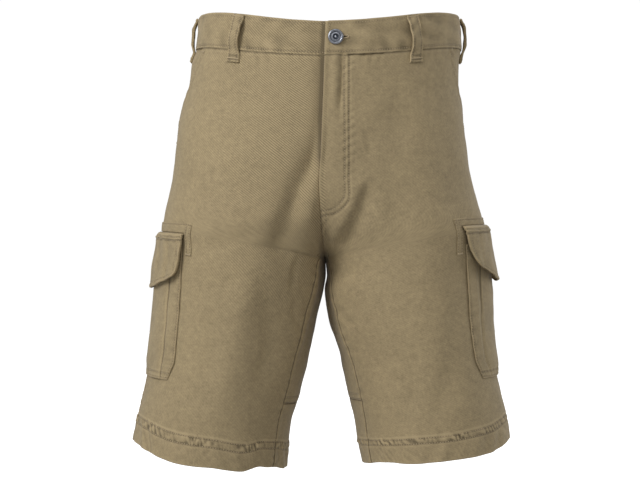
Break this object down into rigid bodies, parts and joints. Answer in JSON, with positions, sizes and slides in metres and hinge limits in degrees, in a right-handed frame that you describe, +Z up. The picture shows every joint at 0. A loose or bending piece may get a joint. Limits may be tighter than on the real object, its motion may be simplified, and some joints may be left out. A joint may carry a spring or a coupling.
{
  "type": "cargo shorts",
  "caption": "Knee-length twill cargo shorts in their worn, hollow form, with belt loops, slant pockets, a zip fly under a waist button, a crotch gusset and flapped cargo pockets.",
  "frame": {"origin": "centre of the waist ring, at the middle of the waistband's height at the sides", "axes": "+Z up, out of the waist opening; the front faces -Y; +X towards the wearer's left"},
  "size_m": [0.438, 0.2762, 0.5335],
  "materials": {
    "twill": "matt cotton twill with rope-puckered double stitching",
    "pocketing": "matt plain-weave pocketing",
    "zip_metal": "dull antique brass chain on its tape",
    "button_metal": "dark satin"
  },
  "bodies": {
    "root": {"back_left": "twill", "back_right": "twill", "belt_loop_back": "twill", "belt_loop_front_left": "twill", "belt_loop_front_right": "twill", "belt_loop_side_left": "twill", "belt_loop_side_right": "twill", "button": "button_metal", "cargo_flap_left": "twill", "cargo_flap_right": "twill", "cargo_pocket_left": "twill", "cargo_pocket_right": "twill", "facing_left": "twill", "facing_right": "twill", "flap_stay_left": "twill", "flap_stay_right": "twill", "fly_underlap": "twill", "front_left": "twill", "front_right": "twill", "gusset": "twill", "pocket_bag_left": "pocketing", "pocket_bag_right": "pocketing", "waistband": "twill", "zip": "zip_metal"}
  },
  "joints": []
}
